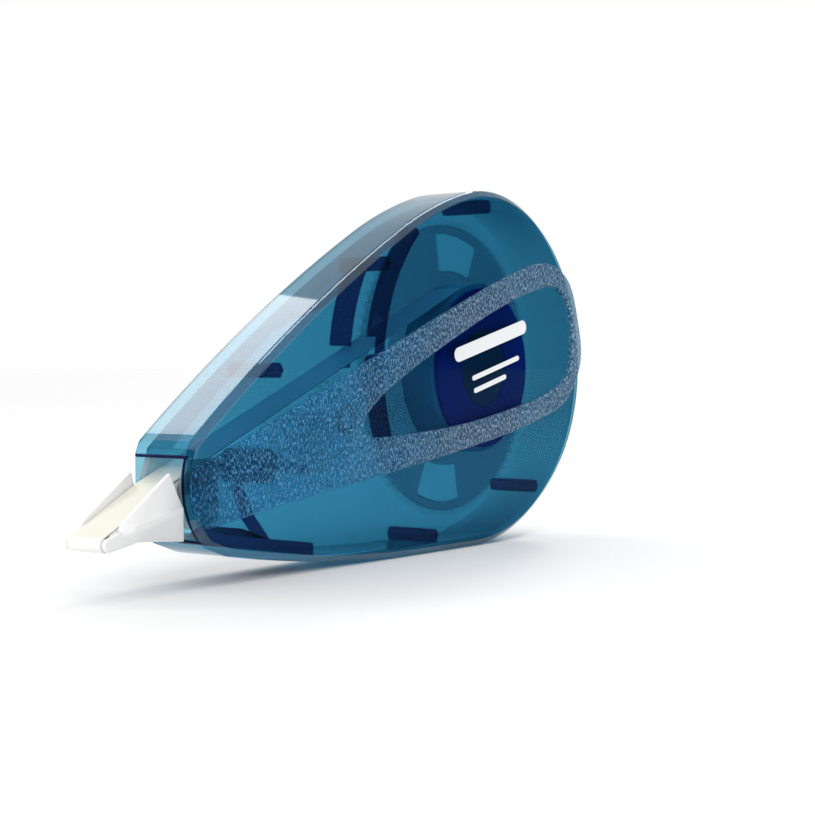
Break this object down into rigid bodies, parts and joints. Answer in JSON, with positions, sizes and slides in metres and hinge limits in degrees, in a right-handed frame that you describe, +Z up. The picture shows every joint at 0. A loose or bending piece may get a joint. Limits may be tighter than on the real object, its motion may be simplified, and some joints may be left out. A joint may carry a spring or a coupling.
{
  "type": "correction tape roller",
  "caption": "Thin teardrop correction tape dispenser with a see-through case, a raised grip loop, geared reels inside and a white tape head at the nose.",
  "frame": {"origin": "bottom centre of the whole object as it stands on its edge", "axes": "+Z up, +X from the tape tip towards the round tail, -Y the side with the cover and the grip loop"},
  "size_m": [0.098, 0.0104, 0.05],
  "materials": {
    "shell": "see-through blue-green, polished",
    "grip": "see-through blue, fine leather grain",
    "print": "white ink",
    "gear_teal": "tinted moulding",
    "ring_rubber": "matt",
    "spool_blue": "moulded",
    "cap_navy": "moulded",
    "gear_clear": "natural, slightly tinted",
    "tape": "dry white film on its liner",
    "liner": "used liner film",
    "head_white": "moulded white",
    "roller_white": "polished white",
    "clip_steel": "pressed"
  },
  "bodies": {
    "shell": {"rear_casing": "shell", "front_cover": "shell", "grip_loop": "grip", "cover_motif": "print", "applicator_head": "head_white", "tape_run": "tape", "tip_wrap": "tape", "liner_run": "liner", "idler_clip": "clip_steel"},
    "drive": {"drive_gear": "gear_teal", "slip_ring": "ring_rubber", "spool_cap": "cap_navy"},
    "supply": {"supply_spool": "spool_blue", "tape_roll": "tape"},
    "idler": {"idler_gear": "gear_clear"},
    "takeup": {"takeup_gear": "gear_clear", "takeup_flange": "gear_clear", "liner_roll": "liner"},
    "guide": {"guide_roller": "cap_navy"},
    "tip": {"tip_roller": "roller_white"}
  },
  "joints": [
    {"name": "drive_spin", "type": "hinge", "parent": "shell", "child": "drive", "pos_m": [0.024, 0, 0.025], "axis": [0, -1, 0], "continuous": true},
    {"name": "spool_slip", "type": "hinge", "parent": "drive", "child": "supply", "pos_m": [0.024, 0, 0.025], "axis": [0, -1, 0], "continuous": true},
    {"name": "idler_spin", "type": "hinge", "parent": "shell", "child": "idler", "pos_m": [-0.00192, 0, 0.01825], "axis": [0, -1, 0], "continuous": true},
    {"name": "takeup_spin", "type": "hinge", "parent": "shell", "child": "takeup", "pos_m": [-0.01237, 0, 0.01553], "axis": [0, -1, 0], "continuous": true},
    {"name": "guide_spin", "type": "hinge", "parent": "shell", "child": "guide", "pos_m": [-0.0224, 0, 0.0132], "axis": [0, -1, 0], "continuous": true},
    {"name": "tip_spin", "type": "hinge", "parent": "shell", "child": "tip", "pos_m": [-0.04818, 0, 0.006], "axis": [0, -1, 0], "continuous": true}
  ],
  "couplings": [
    {"joint": "idler_spin", "follows": "drive_spin", "ratio": -3.6522},
    {"joint": "takeup_spin", "follows": "drive_spin", "ratio": 4.2},
    {"joint": "guide_spin", "follows": "drive_spin", "ratio": -5.5068},
    {"joint": "tip_spin", "follows": "drive_spin", "ratio": 15.266}
  ]
}
